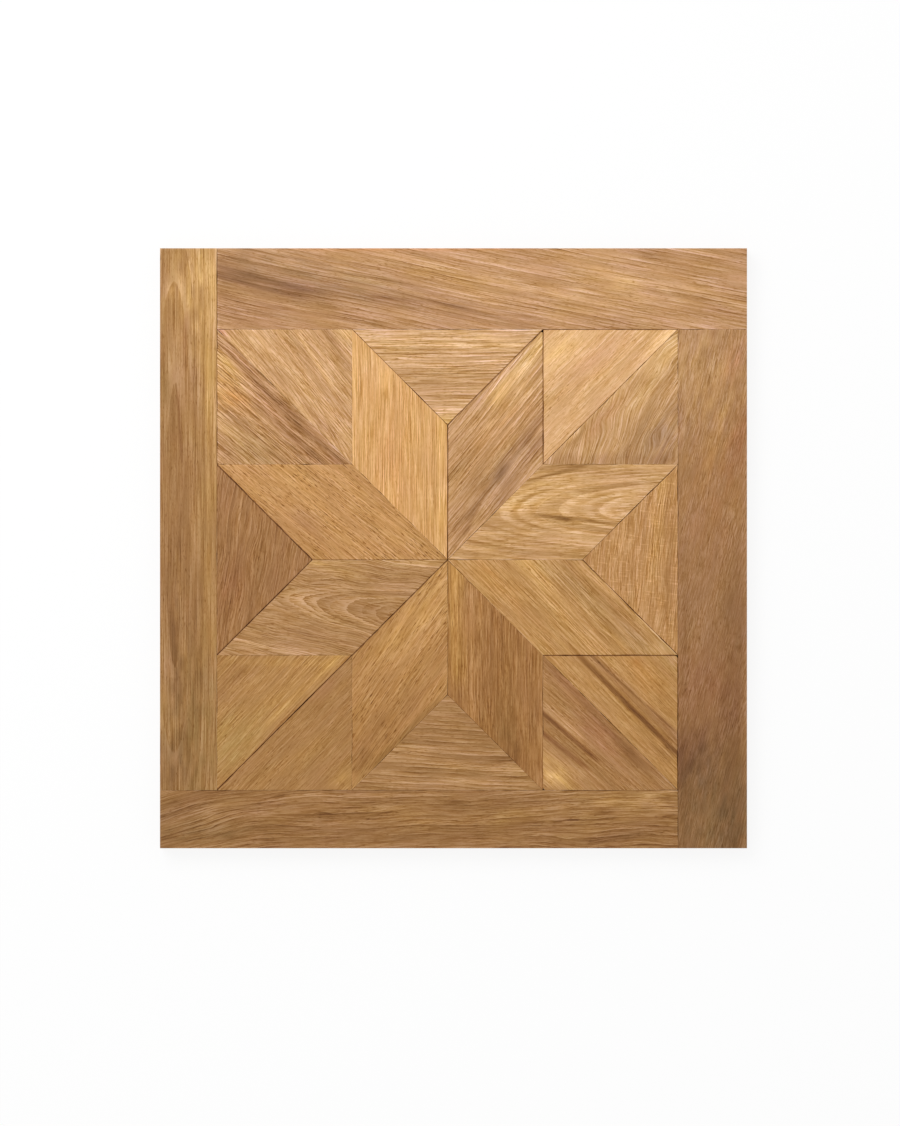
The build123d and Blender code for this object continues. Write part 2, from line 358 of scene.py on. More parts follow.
        streaks=(Streak((217, 60), (217, -90), 7, -0.07),),
        patches=(
            Patch((204, 30), (60, 6), 0.06, 0.06), Patch((190, 40), (14, 10), 0.04),
            Patch((207, 18), (14, 8), -0.04), Patch((171, 14), (14, 8), 0.04),
        ),
    ),
    "side_triangle_bottom": Figure(
        "oak_brown", -3, -0.15, -0.03, -0.02, ring=4.2, ragged=0.6, run=50, lines=0.4, crisp=5.0,
        wave=(1.8, 40),
        patches=(
            Patch((0, -232), (60, 6), 0.05), Patch((-40, -194), (25, 6), -0.05),
            Patch((-34, -228), (24, 5), -0.05), Patch((18, -225), (22, 5), -0.12),
            Patch((52, -213), (20, 5), -0.11), Patch((-8, -168), (14, 8), 0.07),
            Patch((-46, -213), (20, 4), 0.05), Patch((-28, -203), (25, 7), 0.05),
            Patch((-28, -223), (25, 7), -0.05),
        ),
    ),
    "side_triangle_left": Figure(
        "oak_brown", 82, -0.22, -0.04, 0.03, ring=3.4, lines=0.22, bands=0.03, fibres=0.14,
        wave=(2.5, 36),
        patches=(
            Patch((-217, 27), (25, 8), 0.07), Patch((-203, 24), (20, 10), 0.05, 0.04),
            Patch((-222, -40), (25, 10), -0.03, 0.0, 0.1), Patch((-225, 4), (14, 8), -0.05),
        ),
    ),
    "corner_top_left_upper": Figure(
        "oak_pale", -49, 0.02, 0.01, 0.01, ring=2.4, pith=(-60, 20), lean=0.25, ragged=0.6, lines=0.24,
        fibres=0.13,
        streaks=(
            Streak((-240, 228), (-100, 84), 3.5, 0.07, 0.03),
            Streak((-160, 222), (-115, 152), 2.5, 0.07, 0.04),
            Streak((-138, 232), (-100, 172), 4.5, -0.09, -0.03),
        ),
        patches=(
            Patch((-200, 212), (22, 10), 0.07, 0.04), Patch((-170, 150), (16, 5), -0.06),
            Patch((-128, 118), (25, 6), -0.05, -0.05), Patch((-140, 125), (20, 6), -0.04),
            Patch((-160, 202), (12, 6), -0.07), Patch((-107, 216), (12, 6), 0.07, 0.1),
            Patch((-121, 212), (12, 6), -0.08), Patch((-234, 218), (10, 6), 0.0, -0.1, 0.12),
            Patch((-220, 201), (16, 7), -0.04),
        ),
    ),
    "corner_top_left_lower": Figure(
        "oak_honey", -40, -0.03, -0.01, 0.01, ring=2.4, ragged=0.6, lines=0.4, fibres=0.25,
        strand=(22, 1.0),
        streaks=(
            Streak((-247, 218), (-87, 60), 6, -0.11, -0.05, 0.03),
            Streak((-215, 172), (-110, 62), 7, -0.05, -0.03, 0.03),
            Streak((-172, 146), (-92, 64), 4, -0.07, -0.03), Streak((-240, 220), (-130, 110), 1.2, -0.1),
            Streak((-236, 206), (-140, 108), 1.2, -0.1),
        ),
        patches=(
            Patch((-226, 155), (24, 14), 0.09, 0.18, 0.06), Patch((-217, 131), (22, 7), -0.12, -0.06),
            Patch((-228, 186), (22, 9), 0.08, 0.12), Patch((-190, 147), (14, 5), 0.06),
            Patch((-229, 165), (12, 6), 0.05), Patch((-141, 102), (22, 6), -0.06),
            Patch((-215, 108), (40, 6), 0.04), Patch((-226, 94), (10, 8), -0.06),
            Patch((-175, 94), (14, 5), -0.06), Patch((-218, 150), (16, 7), 0.0, 0.05, 0.12),
            Patch((-225, 120), (20, 8), 0.05, 0.08), Patch((-200, 98), (30, 14), -0.03, 0.0, -0.08),
            Patch((-150, 98), (30, 12), -0.1), Patch((-170, 146), (15, 6), -0.08),
        ),
    ),
    "corner_top_right_upper": Figure(
        "oak_pale", 45, 0.12, 0.05, 0.03, ring=4.4, ragged=0.7, run=60, lines=0.11, fibres=0.06,
        patches=(
            Patch((104, 197), (28, 15), 0.04, 0.08), Patch((141, 188), (28, 13), -0.02, -0.02, 0.04),
            Patch((210, 205), (26, 10), 0.06, 0.06), Patch((214, 216), (26, 5), 0.06),
            Patch((103, 150), (30, 12), -0.09),
        ),
    ),
    "corner_top_right_lower": Figure(
        "oak_honey", 48, 0.02, 0.01, -0.01, ring=4.2, wave=(3.2, 24), sweep=(0.55, 15, 20), ragged=0.8,
        lines=0.21, crisp=3.5, soft=0.15, fibres=0.11,
        streaks=(
            Streak((100, 98), (225, 222), 6, 0.07, 0.05), Streak((110, 98), (140, 130), 3, -0.05),
            Streak((180, 175), (250, 228), 14, 0.07, 0.08), Streak((75, 86), (245, 86), 8, -0.08, -0.05),
        ),
        patches=(
            Patch((190, 150), (20, 9), 0.06, 0.05), Patch((214, 190), (24, 12), 0.06, 0.03),
            Patch((222, 140), (28, 8), -0.06), Patch((205, 110), (35, 20), 0.0, -0.06, -0.06),
            Patch((150, 130), (40, 8), 0.0, 0.0, 0.06), Patch((220, 123), (14, 6), -0.06),
            Patch((212, 87), (12, 5), -0.05), Patch((207, 88), (14, 8), -0.06),
            Patch((116, 102), (25, 6), -0.06), Patch((214, 132), (40, 12), -0.06, -0.06),
            Patch((210, 100), (22, 16), -0.13, -0.08), Patch((176, 97), (9, 5), -0.08, -0.05),
            Patch((170, 95), (35, 16), -0.04),
        ),
    ),
    "corner_bottom_left_upper": Figure(
        "oak_tan", 47, -0.12, 0.08, 0.02, ring=3.2, lines=0.18,
        streaks=(
            Streak((-258, -262), (-150, -154), 0.7, -0.1, 0.0, 0.05),
            Streak((-200, -190), (-95, -88), 4, 0.06, 0.05),
            Streak((-240, -112), (-100, -117), 4, 0.04, 0.04),
        ),
        patches=(
            Patch((-118, -112), (30, 9), 0.05, 0.03), Patch((-215, -130), (50, 14), -0.03, -0.06),
            Patch((-222, -195), (40, 25), 0.0, 0.0, -0.1),
        ),
    ),
    "corner_bottom_left_lower": Figure(
        "oak_tan", 46, -0.17, 0.03, 0.01, ring=3.2, lines=0.11, bands=0.02, fibres=0.08,
        streaks=(Streak((-258, -262), (-150, -154), 0.7, -0.07, 0.0, 0.05),),
        patches=(
            Patch((-109, -230), (16, 10), 0.06, 0.1), Patch((-150, -205), (30, 10), 0.04, 0.04),
            Patch((-130, -140), (20, 8), 0.0, -0.04, 0.03),
        ),
    ),
    "corner_bottom_right_upper": Figure(
        "oak_tan", -46, -0.06, 0.09, 0.04, ring=4.2, lines=0.16, fibres=0.08,
        streaks=(
            Streak((108, -88), (244, -226), 2.6, -0.36, 0.0, 0.06),
            Streak((164, -139), (236, -218), 7, -0.05), Streak((120, -90), (240, -204), 5, -0.08, -0.1),
            Streak((122, -92), (236, -196), 1.3, -0.17),
        ),
        patches=(
            Patch((192, -129), (28, 12), 0.03, 0.08, 0.06), Patch((110, -118), (14, 5), 0.06),
            Patch((188, -153), (18, 4), 0.07, 0.06), Patch((205, -140), (12, 5), -0.05),
            Patch((180, -169), (16, 5), -0.05), Patch((224, -207), (10, 10), -0.07),
            Patch((222, -110), (14, 10), 0.0, 0.0, -0.08), Patch((226, -196), (12, 14), 0.0, -0.1, -0.03),
            Patch((184, -113), (6, 4), -0.05, 0.1, 0.12), Patch((220, -112), (6, 5), 0.1, -0.15),
            Patch((205, -150), (12, 6), -0.05), Patch((205, -194), (30, 12), -0.1),
        ),
    ),
    "corner_bottom_right_lower": Figure(
        "oak_tan", -42, -0.14, 0.0, 0.02, ring=3.6, lines=0.16,
        streaks=(
            Streak((72, -150), (150, -219), 2.2, -0.28, 0.0, 0.1),
            Streak((72, -171), (140, -226), 2.4, -0.2, -0.03, 0.1),
            Streak((78, -98), (205, -236), 4.5, -0.09, -0.03), Streak((84, -154), (134, -197), 4, 0.11),
        ),
        patches=(
            Patch((100, -222), (26, 12), 0.22, 0.16), Patch((96, -232), (10, 8), 0.14, 0.06),
            Patch((134, -230), (20, 6), 0.05), Patch((125, -142), (40, 12), 0.0, 0.0, 0.06),
            Patch((150, -190), (30, 12), 0.0, -0.06, 0.1), Patch((172, -200), (22, 8), -0.06),
            Patch((118, -186), (25, 7), 0.05), Patch((186, -212), (40, 9), -0.05),
        ),
    ),
}


# Chance and figure. A run is a length along the fibres
LATTICE = 256           # random heights each way before chance repeats
SEEDS = 10              # kept for each block
WAVE_NARROWING = 2      # how much shorter the wander of the fibres is across them than along
STRAY_SHARE, STRAY_RINGS, STRAY_RUN = 0.7, 2.3, 150     # slow straying of the rings
BAND_RINGS, BAND_RUN = 5, 200
STRIPES, STRIPE_RUN, STRIPE_DEPTH = 0.9, 60, 0.35       # stripes in a streak, counted for each ring
BLOTCH_RUN, BLOTCH_WIDTH, BLOTCH_DEPTH = 12, 4, 0.5     # unevenness of a patch
STREAK_SIDES = 3        # power by which a streak's sides fall off
STREAK_ENDS = 0.2       # part of its length over which it comes and goes
PALE_EDGE = 0.5         # how pale a ring ends, where its start is dark by 1


def drift(x, y, seed):
    """Smooth chance from -1 to 1: a random height at every whole x and y, eased between them
    by t * t * (3 - 2 * t)."""
    heights = np.random.default_rng(seed).uniform(-1, 1, (LATTICE, LATTICE))
    column, row = np.floor(x).astype(int), np.floor(y).astype(int)
    s, t = eased(x - column), eased(y - row)
    left, right = column % LATTICE, (column + 1) % LATTICE
    low, high = row % LATTICE, (row + 1) % LATTICE
    below = (1 - s) * heights[left, low] + s * heights[right, low]
    above = (1 - s) * heights[left, high] + s * heights[right, high]
    return (1 - t) * below + t * above


def eased(t):
    """A step from 0 to 1 that starts and ends gently."""
    t = np.clip(t, 0, 1)
    return t * t * (3 - 2 * t)


def fibre_places(figure, middle, points):
    """Places along the fibres, across them and below the face."""
    turn = radians(figure.angle)
    x, y = points[:, 0] - middle[0], points[:, 1] - middle[1]
    along = x * np.cos(turn) + y * np.sin(turn)
    across = y * np.cos(turn) - x * np.sin(turn)
    return along, across, THICKNESS - points[:, 2]


def streak_share(streak, points, wander):
    """How much of a streak is at each point: across it a bell with a flat top, e to the power of
    -(aside / width) ** STREAK_SIDES, which is eased in and out at its ends."""
    start, end = np.array(streak.start), np.array(streak.end)
    length = np.hypot(*(end - start))
    way = (end - start) / length
    x, y = (points[:, :2] - start).T
    run = (x * way[0] + y * way[1]) / length
    aside = y * way[0] - x * way[1] + wander
    bell = np.exp(-np.abs(aside / streak.width) ** STREAK_SIDES)
    return bell * eased(run / STREAK_ENDS) * eased((1 - run) / STREAK_ENDS)


def patch_share(patch, figure, points):
    """How much of a patch is at each point: a bell along and across the fibres, e to the power of
    -(along / half length) ** 2 - (across / half width) ** 2."""
    along, across, _ = fibre_places(figure, patch.at, points)
    return np.exp(-(along / patch.size[0]) ** 2 - (across / patch.size[1]) ** 2)


def grow(figure, seed, middle, points):
    """The wood at each point: its tone (shade, warmth and redness), its place among the fibres, and
    its age in rings. The age is the distance from the heart, which wanders and leans, over the width
    of a ring, so the rings cut the face as lines, arches or ovals. Before the place of the sweep the
    fibres move aside by slope * ease * log(1 + e to the power of (place - along) / ease)."""
    along, across, depth = fibre_places(figure, middle, points)
    height, length = figure.wave
    slope, place, ease = figure.sweep
    waver = height * drift(along / length, across / length * WAVE_NARROWING, seed)
    wander = waver + slope * ease * np.logaddexp(0, (place - along) / ease)
    above_heart = figure.pith[1] + figure.lean * along + figure.bow * along ** 2 + depth
    age = np.hypot(across + wander - figure.pith[0], above_heart) / figure.ring
    age = age + STRAY_SHARE * figure.ragged * drift(age / STRAY_RINGS, along / STRAY_RUN, seed + 1)
    stripe = drift(age * STRIPES, along / STRIPE_RUN, seed + 2)
    tone = np.empty((len(points), 3))
    tone[:] = figure.shade, figure.warmth, figure.redness
    tone[:, 0] += figure.bands * drift(age / BAND_RINGS, along / BAND_RUN, seed + 3)
    for streak in figure.streaks:
        share = streak_share(streak, points, waver) * (1 + STRIPE_DEPTH * stripe)
        tone += np.outer(share, (streak.shade, streak.warmth, streak.redness))
    blotch = drift(along / BLOTCH_RUN, (across + wander) / BLOTCH_WIDTH, seed + 4)
    for patch in figure.patches:
        share = patch_share(patch, figure, points) * (1 + BLOTCH_DEPTH * blotch)
        tone += np.outer(share, (patch.shade, patch.warmth, patch.redness))
    return tone, np.column_stack([along, across + wander, depth]), age


def ring_shape(age, crisp, soft):
    """How light a ring is from its start to its end: it starts with a dark row of pores that fades as
    e to the power of -crisp * part, and ends with a pale edge that comes up in the same way. Both go
    to nothing over a soft part where the rings meet."""
    part = age % 1
    pale = PALE_EDGE * np.exp((part - 1) * crisp) * np.clip((1 - part) / soft, 0, 1)
    return pale - np.exp(-part * crisp) * np.clip(part / soft, 0, 1)


# Outlines and joinery, read from the CAD nodes
def cross(a, b):
    """The cross product of flat vectors."""
    return a[..., 0] * b[..., 1] - a[..., 1] * b[..., 0]


def meeting_points(points, ways):
    """Where the line of each side meets the line of the side before it."""
    before, before_ways = np.roll(points, 1, axis=0), np.roll(ways, 1, axis=0)
    reach = cross(points - before, ways) / cross(before_ways, ways)
    return before + reach[:, None] * before_ways


def side_ways(corners):
    """Each side's direction, its direction into the block, and its length."""
    sides = np.roll(corners, -1, axis=0) - corners
    lengths = np.hypot(*sides.T)
    ways = sides / lengths[:, None]
    return ways, np.column_stack([-ways[:, 1], ways[:, 0]]), lengths


def inset(corners, distances):
    """The outline with each side moved inwards by its own distance."""
    ways, inwards, _ = side_ways(corners)
    return meeting_points(corners + inwards * np.reshape(distances, (-1, 1)), ways)


SHORT_SIDE = 8.0        # a shorter side is part of a rounded corner
SHARP = 0.1             # a corner with less rounding has none
LENGTH_COUNTS = 1e-4    # picks the longer of two sides that run with the fibres alike
FACING = -0.999         # two sides face each other where the product of their ways in is below this
FAR = 99.0              # stands for no joint at all
CLOSED_JOINT, OPEN_JOINT = 0.1, 0.4     # widths at which a joint stains its edges not at all and fully
LEAST_STAIN = 0.01      # of a closed joint, so that its share isn't nothing


def node_points(node):
    """The vertices of a CAD node."""
    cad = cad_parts[node].data
    points = np.empty(len(cad.vertices) * 3)
    cad.vertices.foreach_get("co", points)
    return points.reshape(-1, 3) / MM


def read_outline(points, angle):
    """A block's corners, anticlockwise from the start of a side that runs with the fibres: the long
    sides of its back, run on until they meet. Also the rounding of each corner, which brings the
    back within rounding * (1 / sin(half the angle) - 1) of the corner."""
    back = np.unique(np.round(points[points[:, 2] < WELD, :2], 3), axis=0)
    around = back - back.mean(axis=0)
    back = back[np.argsort(np.arctan2(around[:, 1], around[:, 0]))]
    sides = np.roll(back, -1, axis=0) - back
    long = np.hypot(*sides.T) > SHORT_SIDE
    corners = meeting_points(back[long], sides[long])
    ways, _, lengths = side_ways(corners)
    fibre_way = np.array([np.cos(radians(angle)), np.sin(radians(angle))])
    with_fibres = np.abs(ways @ fibre_way) + lengths * LENGTH_COUNTS
    corners = np.roll(corners, -np.argmax(with_fibres), axis=0)
    ways, _, _ = side_ways(corners)
    missing = np.hypot(*(corners[:, None] - back[None]).transpose(2, 0, 1)).min(axis=1)
    half = np.arccos(np.clip(np.sum(-ways * np.roll(ways, 1, axis=0), axis=1), -1, 1)) / 2
    return corners, np.round(missing / (1 / np.sin(half) - 1), 2)


def joint_widths(outlines):
    """How wide the joint along each side of each block is: how far out from the middle of the side the
    nearest side of another block lies that faces it. A side on the rim of the panel has none."""
    counts = [len(corners) for corners in outlines]
    owner = np.repeat(np.arange(len(outlines)), counts)
    starts = np.concatenate(outlines)
    ways, inwards, lengths = (np.concatenate(values) for values in zip(*map(side_ways, outlines)))
    apart = starts[None] - (starts + ways * lengths[:, None] / 2)[:, None]
    out = -np.einsum("ijc,ic->ij", apart, inwards)
    run = -np.einsum("ijc,jc->ij", apart, ways)
    facing = (inwards @ inwards.T < FACING) & (owner[:, None] != owner)
    facing &= (out > -WELD) & (run > 0) & (run < lengths)
    return np.split(np.where(facing, out, FAR).min(axis=1), np.cumsum(counts)[:-1])


class Side(NamedTuple):
    """What is worked along one side: its depth into the block, or out of it for a tongue, its lower
    and upper edge, where it starts and ends, and whether it runs right through."""
    depth: float
    low: float
    high: float
    start: float
    end: float
    through: bool


JOINERY_REACH = (1.0, 8.0)      # nearest and furthest that a slot or tongue goes from its side
STOP = 8.0                      # joinery that ends this far from both corners is stopped
SAME_DEPTH = 0.3                # points this near in depth belong to one slot or tongue
LIP = THICKNESS / 3             # about how high the wall is above and below the joinery


def read_sides(points, corners):
    """The groove, slot or tongue along each side of a block."""
    worked = points[np.abs(points[:, 2] - THICKNESS / 2) < THICKNESS / 4]
    sides = []
    for corner, way, inwards, length in zip(corners, *side_ways(corners)):
        run, depth = (worked[:, :2] - corner) @ way, (worked[:, :2] - corner) @ inwards
        near = (np.abs(depth) > JOINERY_REACH[0]) & (np.abs(depth) < JOINERY_REACH[1])
        near &= (run > -JOINERY_REACH[0]) & (run < length + JOINERY_REACH[0])
        if not near.any():
            sides.append(Side(0.0, LIP, THICKNESS - LIP, length / 2, length / 2, False))
            continue
        nearest = depth[near].min()
        near &= np.abs(depth - nearest) < SAME_DEPTH
        start, end = run[near].min(), run[near].max()
        through = start < STOP or end > length - STOP
        heights = worked[near, 2]
        sides.append(Side(nearest, heights.min(), heights.max(), start, end, through))
    return sides


# Block meshes
def steps(length, step):
    """Even shares from 0 to 1, about a step apart on that length."""
    return np.linspace(0, 1, max(2, int(np.ceil(length / step)) + 1))


def outline_grid(corners, row, column, height):
    """A flat grid between four corners, or three where the last two coincide: the point at u, v lies
    u of the way along both the first side and the one facing it, and v of the way between them."""
    a, b, c, d = corners if len(corners) == 4 else (*corners, corners[2])
    _, (inwards, *_), (length, *_) = side_ways(corners)
    u, v = steps(length, column), steps((c - a) @ inwards, row)
    u_grid, v_grid = np.meshgrid(u, v)
    u_grid, v_grid = u_grid[..., None], v_grid[..., None]
    flat = (1 - v_grid) * ((1 - u_grid) * a + u_grid * b) + v_grid * ((1 - u_grid) * d + u_grid * c)
    points = np.concatenate([flat, np.full((*flat.shape[:2], 1), height)], axis=2)
    index = np.arange(len(u) * len(v)).reshape(len(v), len(u))
    rims = [(index[0], u), (index[:, -1], v), (index[-1, ::-1], u), (index[::-1, 0], v)]
    if len(corners) == 3:
        del rims[2]
    loop = np.concatenate([rim[:-1] for rim, _ in rims] + [index[0, :1]])
    place = np.concatenate([i + share[:-1] for i, (_, share) in enumerate(rims)] + [[len(rims)]])
    return points.reshape(-1, 3), quads(index), loop, place


def quads(index):
    """The four-sided faces of a grid of vertex numbers."""
    return np.stack([index[:-1, :-1], index[:-1, 1:], index[1:, 1:], index[1:, :-1]], -1).reshape(-1, 4)


def stitch(loop, place, other, other_place):
    """Triangles between two rings of points that go round the same outline in their own steps. Each
    step of one ring takes the point that the other ring has reached by the middle of that step."""
    middle, other_middle = (place[1:] + place[:-1]) / 2, (other_place[1:] + other_place[:-1]) / 2
    reached = np.searchsorted(other_middle, middle, "left")
    other_reached = np.searchsorted(middle, other_middle, "right")
    return np.concatenate([
        np.column_stack([loop[:-1], loop[1:], other[reached]]),
        np.column_stack([other[1:], other[:-1], loop[other_reached]]),
    ])


def side_path(side, length, low_stop, high_stop):
    """Places along a side, in short runs between the points where its joinery changes, and whether
    each lies within a stopped slot or tongue."""
    stops = [0.0, low_stop, high_stop, length]
    stopped = bool(side.depth) and not side.through
    if stopped:
        stops[2:2] = [side.start, side.end]
    runs, inside = [], []
    for i, (start, end) in enumerate(zip(stops, stops[1:])):
        if end - start < WELD:
            continue
        open_end = i in (0, len(stops) - 2)
        share = np.array([0, 1]) if open_end else steps(end - start, WALL_STEP)
        runs.append(start + share * (end - start))
        inside.append(np.full(len(share), stopped and i == 2))
    return np.concatenate(runs), np.concatenate(inside)


def wall_rings(corners, sides, wall_step):
    """The sides of a block as rings of points from the face down to the back: an eased edge, the
    wall, the groove, slot or tongue, the wall again and the back's eased edge. Each ring has a point
    at every place of the path round the outline."""
    ways, inwards, lengths = side_ways(corners)
    count = len(corners)
    groove_corners = inset(corners, [side.depth if side.through else 0.0 for side in sides])
    low_common, high_common = min(s.low for s in sides), max(s.high for s in sides)
    path = []
    for i, side in enumerate(sides):
        start = (groove_corners[i] - corners[i]) @ ways[i]
        end = (groove_corners[(i + 1) % count] - corners[i]) @ ways[i]
        if side.through:
            start, end = 0.0, lengths[i]
        run, inside = side_path(side, lengths[i], start, end)
        knots = [0, side.start, side.end, lengths[i]]
        low = np.interp(run, knots, [low_common, side.low, side.low, low_common])
        high = np.interp(run, knots, [high_common, side.high, side.high, high_common])
        share = (run / lengths[i])[:, None]
        if side.through:
            deep = groove_corners[i] + share * (groove_corners[(i + 1) % count] - groove_corners[i])
        else:
            held = np.clip(run, start, end)
            deep = corners[i] + held[:, None] * ways[i] + np.outer(inside * side.depth, inwards[i])
        path.append((np.full(len(run), i), share, deep, low, high))
    number, share, deep, low, high = (np.concatenate(values) for values in zip(*path))

    def ring(distance, heights):
        moved = inset(corners, [distance] * count)
        flat = moved[number] + share * (np.roll(moved, -1, axis=0)[number] - moved[number])
        return np.column_stack([flat, np.broadcast_to(heights, len(flat))])

    eased_in = 1 - np.sqrt(0.5)
    upper = [ring(ARRIS * eased_in, THICKNESS - ARRIS * eased_in)]
    for down in steps(LIP, wall_step):
        upper.append(ring(0.0, (THICKNESS - ARRIS) * (1 - down) + high * down))
    lower = [ring(0.0, low * (1 - down) + BACK_ARRIS * down) for down in steps(LIP, wall_step)]
    slot = [np.column_stack([deep, high]), np.column_stack([deep, low])]
    return np.array(upper + slot + lower), number + share[:, 0]


def round_corners(points, corners, rounding):
    """Rounds knocked-off corners. Between the two square-on directions from the rounding's centre,
    a point as far out as the further side, q, moves to the distance q from that centre."""
    _, inwards, _ = side_ways(corners)
    for i, radius in enumerate(rounding):
        if radius < SHARP:
            continue
        before, after = -inwards[i - 1], -inwards[i]
        centre = inset(corners, [radius] * len(corners))[i]
        out = points[:, :2] - centre
        turn = cross(before, after)
        within = (cross(before, out) * turn > 0) & (cross(out, after) * turn > 0)
        reach = np.maximum(out @ before, out @ after)
        distance = np.hypot(*out.T)
        moved = centre + out * (reach / np.maximum(distance, WELD))[:, None]
        points[within, :2] = moved[within]


def wear_edges(points, corners, widths, seed):
    """Wears the edges of the face back along each joint. The wear at a place is EDGE_WEAR times chance,
    cut off below 0, less further down by 1 - depth / WEAR_DEPTH, and less further into the face by
    1 - (distance - ARRIS) / WEAR_REACH, so that the face makes way for its edge."""
    _, inwards, _ = side_ways(corners)
    x, y = points[:, 0], points[:, 1]
    nicks, hollows = drift(x / NICK, y / NICK, seed + 5), drift(x / HOLLOW, y / HOLLOW, seed + 6)
    wear = EDGE_WEAR * np.clip(WEAR_SWING * nicks + WEAR_SWING * hollows, 0, 1)
    wear = wear * np.clip(1 - (THICKNESS - points[:, 2]) / WEAR_DEPTH, 0, 1)
    distance = np.einsum("pic,ic->pi", points[:, None, :2] - corners[None], inwards)
    share = np.clip(1 - (distance - ARRIS) / WEAR_REACH, 0, 1)
    joined = widths < FAR
    points[:, :2] += wear[:, None] * (share[:, joined] @ inwards[joined])


def edge_places(points, corners, widths):
    """How far each point is from the edge of the face, how far down a joint it is, and how far from a
    joint that stains its edges, which counts for more the less the joint is open."""
    _, inwards, _ = side_ways(corners)
    distance = np.einsum("pic,ic->pi", points[:, None, :2] - corners[None], inwards)
    depth = THICKNESS - points[:, 2]
    joined = widths < FAR
    in_joint = np.abs(distance[:, joined]).min(axis=1) < ARRIS
    in_joint &= np.abs(distance[:, ~joined]).min(axis=1, initial=FAR) > ARRIS
    joint = np.where(in_joint, depth, 0)
    distance = np.maximum(distance, 0)
    stained = np.clip((widths[joined] - CLOSED_JOINT) / (OPEN_JOINT - CLOSED_JOINT), LEAST_STAIN, 1)
    seam = (distance[:, joined] / stained).min(axis=1)
    return distance.min(axis=1) + depth, joint, seam + depth


def add_attribute(mesh, name, kind, values):
    """Gives every point of a mesh a value that its material can read."""
    field = "vector" if kind == "FLOAT_VECTOR" else "value"
    layer = mesh.attributes.new(name, kind, "POINT")
    layer.data.foreach_set(field, np.ascontiguousarray(values, np.float32).ravel())


def make_block(node, figure, seed, outline, widths):
    """The worked block that stands for a CAD node, at the node's place."""
    corners, rounding = outline
    sides = read_sides(node_points(node), corners)
    board = node.startswith("border")

    face, face_quads, face_loop, face_place = outline_grid(
        inset(corners, [ARRIS] * len(corners)), FACE_ROW, FACE_COLUMN, THICKNESS)
    back, back_quads, back_loop, back_place = outline_grid(
        inset(corners, [BACK_ARRIS] * len(corners)), BACK_ROW, BACK_COLUMN, 0.0)
    rings, wall_place = wall_rings(corners, sides, BOARD_STEP if board else BLOCK_STEP)
    wall = rings.reshape(-1, 3)
    wall_index = np.arange(len(wall)).reshape(rings.shape[:2]) + len(face) + len(back)
    back_quads, back_loop = back_quads + len(face), back_loop + len(face)
    everything = np.concatenate([face, back, wall])
    round_corners(everything, corners, rounding)

    faces = [face_quads, back_quads, quads(wall_index),
             stitch(face_loop, face_place, wall_index[0], wall_place),
             stitch(back_loop, back_place, wall_index[-1], wall_place)]
    mesh = bpy.data.meshes.new(node + "_oak")
    mesh.from_pydata(everything.tolist(), [], [face for group in faces for face in group.tolist()])
    shape = bmesh.new()
    shape.from_mesh(mesh)
    bmesh.ops.remove_doubles(shape, verts=shape.verts, dist=WELD)
    bmesh.ops.recalc_face_normals(shape, faces=shape.faces)
    shape.to_mesh(mesh)
    shape.free()

    placed = np.empty(len(mesh.vertices) * 3)
    mesh.vertices.foreach_get("co", placed)
    placed = placed.reshape(-1, 3)
    middle = corners.mean(axis=0)
    tone, fibre, age = grow(figure, seed, middle, placed)
    edge, joint, seam = edge_places(placed, corners, widths)
    wear_edges(placed, corners, widths, seed)
    upper = placed[:, 2] > THICKNESS - ARRIS - WELD
    ridges = ring_shape(age[upper], figure.crisp, figure.soft) - PALE_EDGE
    placed[upper, 2] += LINE_RELIEF * ridges
    mesh.vertices.foreach_set("co", (placed * MM).ravel())
    add_attribute(mesh, "tone", "FLOAT_VECTOR", tone)
    add_attribute(mesh, "fibre", "FLOAT_VECTOR", fibre)
    add_attribute(mesh, "age", "FLOAT", age)
    add_attribute(mesh, "edge", "FLOAT", edge)
    add_attribute(mesh, "joint", "FLOAT", joint)
    add_attribute(mesh, "seam", "FLOAT", seam)
    mesh.shade_smooth()
    mesh.set_sharp_from_angle(angle=FOLD)
    mesh.update()
    piece = bpy.data.objects.new(node + "_oak", mesh)
    bpy.context.scene.collection.objects.link(piece)
    mesh.materials.append(oak_finish(node, figure))
    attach(piece, "root")
    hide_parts(node)


# Materials
class Wire:
    """One output of a material's nodes. Sums on it add Math nodes."""

    def __init__(self, tree, socket):
        self.tree, self.socket = tree, socket

    def node(self, kind, settings, sockets, output=0):
        return add_node(self.tree, kind, settings, sockets, output)

    def maths(self, operation, *values, clamp=False):
        settings = {"operation": operation, "use_clamp": clamp}
        return self.node("ShaderNodeMath", settings, dict(enumerate(values)))

    def __add__(self, other):
        return self.maths("ADD", self, other)

    __radd__ = __add__

    def __sub__(self, other):
        return self.maths("SUBTRACT", self, other)

    def __rsub__(self, other):
        return self.maths("SUBTRACT", other, self)

    def __mul__(self, other):
        return self.maths("MULTIPLY", self, other)

    __rmul__ = __mul__

    def __truediv__(self, other):
        return self.maths("DIVIDE", self, other)

    def exp(self):
        return self.maths("EXPONENT", self)

    def between(self, low, high):
        """0 below low, 1 above high, and even in between."""
        return self.maths("MULTIPLY", self - low, 1 / (high - low), clamp=True)


def add_node(tree, kind, settings, sockets, output=0):
    """A node with its settings, then the values or links of its sockets."""
    made = tree.nodes.new(kind)
    for name, value in settings.items():
        setattr(made, name, value)
    for name, value in sockets.items():
        if isinstance(value, Wire):
            tree.links.new(value.socket, made.inputs[name])
        else:
            made.inputs[name].default_value = value
    return Wire(tree, made.outputs[output]) if made.outputs else None


def new_tree(owner):
    owner.use_nodes = True
    owner.node_tree.nodes.clear()
    return owner.node_tree


